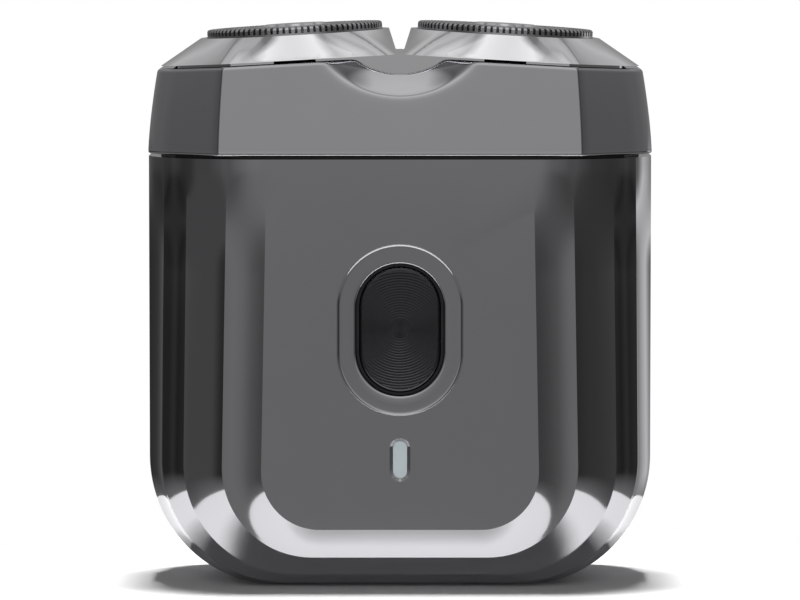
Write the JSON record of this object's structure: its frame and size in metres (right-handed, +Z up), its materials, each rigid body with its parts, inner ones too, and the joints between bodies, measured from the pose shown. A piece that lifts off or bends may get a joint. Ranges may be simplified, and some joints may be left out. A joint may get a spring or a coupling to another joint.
{
  "type": "rotary electric shaver",
  "caption": "Compact upright rotary shaver: fluted metal casing, faceted collar with thumb scoop, leaning cutter heads on a lift-off frame, front push button and status light.",
  "frame": {"origin": "middle of the flat base, on the surface it stands on", "axes": "+Z up through the cutter heads, -Y out of the front panel with the button, +X to the right seen from the front"},
  "size_m": [0.064, 0.03, 0.0715],
  "materials": {
    "gunmetal": "polished dark gunmetal plating",
    "chrome": "bright chrome plating",
    "black_metal": "black anodised, turned rings",
    "lens": "translucent",
    "foil_steel": "fine ground stainless",
    "blade_steel": "ground stainless",
    "steel": "zinc plated",
    "spring_steel": "bright wire",
    "black_plastic": "moulded, fine grain",
    "grey_plastic": "moulded",
    "white_plastic": "natural acetal",
    "rubber": "matte",
    "magnet": "nickel plated",
    "ferrite": "sintered",
    "brass": "machined",
    "copper": "rolled",
    "cell": "shrink sleeve",
    "circuit": "solder mask",
    "foam": "closed cell foam",
    "red_lead": "vinyl insulation"
  },
  "bodies": {
    "body": {"casing": "gunmetal", "collar": "gunmetal", "collar_screws": "steel", "deck": "black_plastic", "deck_gasket": "rubber", "deck_magnets": "magnet", "shaft_seals": "rubber", "gear_pins": "steel", "motor_can": "steel", "motor_end_bell": "white_plastic", "motor_field_magnets": "ferrite", "motor_brushes": "copper", "motor_screws": "steel", "chassis": "grey_plastic", "battery": "cell", "battery_tabs": "steel", "battery_pad": "foam", "circuit_board": "circuit", "board_chips": "black_plastic", "board_screws": "steel", "tact_switch": "black_plastic", "indicator_lamp": "lens", "indicator_lens": "lens", "charge_board": "circuit", "charge_socket": "steel", "socket_tongue": "black_plastic", "socket_liner": "black_plastic", "button_bezel": "gunmetal", "button_gasket": "rubber", "base_screws": "steel", "battery_leads": "red_lead", "motor_leads": "red_lead", "charge_leads": "red_lead"},
    "head": {"head_frame": "chrome", "cutter_cage": "black_plastic", "cage_screw": "steel", "head_magnets": "magnet", "foil_spring_left": "spring_steel", "foil_spring_right": "spring_steel"},
    "button": {"power_button": "black_metal", "switch_plunger": "white_plastic"},
    "motor_rotor": {"motor_armature": "steel", "motor_pinion": "brass"},
    "foil_left": {"foil_left": "foil_steel", "foil_cap_left": "chrome"},
    "cutter_left": {"blades_left": "blade_steel", "cutter_carrier_left": "white_plastic"},
    "gear_left": {"gear_left": "white_plastic", "spindle_spring_left": "spring_steel"},
    "spindle_left": {"spindle_left": "white_plastic"},
    "foil_right": {"foil_right": "foil_steel", "foil_cap_right": "chrome"},
    "cutter_right": {"blades_right": "blade_steel", "cutter_carrier_right": "white_plastic"},
    "gear_right": {"gear_right": "white_plastic", "spindle_spring_right": "spring_steel"},
    "spindle_right": {"spindle_right": "white_plastic"}
  },
  "joints": [
    {"name": "head_lift", "type": "slide", "parent": "body", "child": "head", "axis": [0, 0, 1], "range_m": [0, 0.03]},
    {"name": "motor_spin", "type": "hinge", "parent": "body", "child": "motor_rotor", "pos_m": [0, 0, 0.03], "axis": [0, 0, 1], "continuous": true},
    {"name": "button_press", "type": "slide", "parent": "body", "child": "button", "axis": [0, 1, 0], "range_m": [0, 0.0005], "stiffness_N_per_m": 2000, "springref_m": -0.0002},
    {"name": "foil_left_press", "type": "slide", "parent": "head", "child": "foil_left", "axis": [0.0558, 0, -0.9984], "range_m": [0, 0.001], "stiffness_N_per_m": 600, "springref_m": -0.0005, "deforming": ["foil_spring_left"]},
    {"name": "cutter_left_spin", "type": "hinge", "parent": "foil_left", "child": "cutter_left", "pos_m": [-0.01325, 0, 0.06646], "axis": [-0.0558, 0, 0.9984], "continuous": true},
    {"name": "gear_left_spin", "type": "hinge", "parent": "body", "child": "gear_left", "pos_m": [-0.01325, 0, 0.05], "axis": [0, 0, 1], "continuous": true},
    {"name": "spindle_left_slide", "type": "slide", "parent": "gear_left", "child": "spindle_left", "axis": [0, 0, -1], "range_m": [0, 0.001], "stiffness_N_per_m": 150, "springref_m": -0.0005, "deforming": ["spindle_spring_left"]},
    {"name": "foil_right_press", "type": "slide", "parent": "head", "child": "foil_right", "axis": [-0.0558, 0, -0.9984], "range_m": [0, 0.001], "stiffness_N_per_m": 600, "springref_m": -0.0005, "deforming": ["foil_spring_right"]},
    {"name": "cutter_right_spin", "type": "hinge", "parent": "foil_right", "child": "cutter_right", "pos_m": [0.01325, 0, 0.06646], "axis": [0.0558, 0, 0.9984], "continuous": true},
    {"name": "gear_right_spin", "type": "hinge", "parent": "body", "child": "gear_right", "pos_m": [0.01325, 0, 0.05], "axis": [0, 0, 1], "continuous": true},
    {"name": "spindle_right_slide", "type": "slide", "parent": "gear_right", "child": "spindle_right", "axis": [0, 0, -1], "range_m": [0, 0.001], "stiffness_N_per_m": 150, "springref_m": -0.0005, "deforming": ["spindle_spring_right"]}
  ],
  "couplings": [
    {"joint": "gear_left_spin", "follows": "motor_spin", "ratio": -0.23256},
    {"joint": "cutter_left_spin", "follows": "motor_spin", "ratio": -0.23256},
    {"joint": "spindle_left_slide", "follows": "foil_left_press", "ratio": 1},
    {"joint": "gear_right_spin", "follows": "motor_spin", "ratio": -0.23256},
    {"joint": "cutter_right_spin", "follows": "motor_spin", "ratio": -0.23256},
    {"joint": "spindle_right_slide", "follows": "foil_right_press", "ratio": 1}
  ]
}
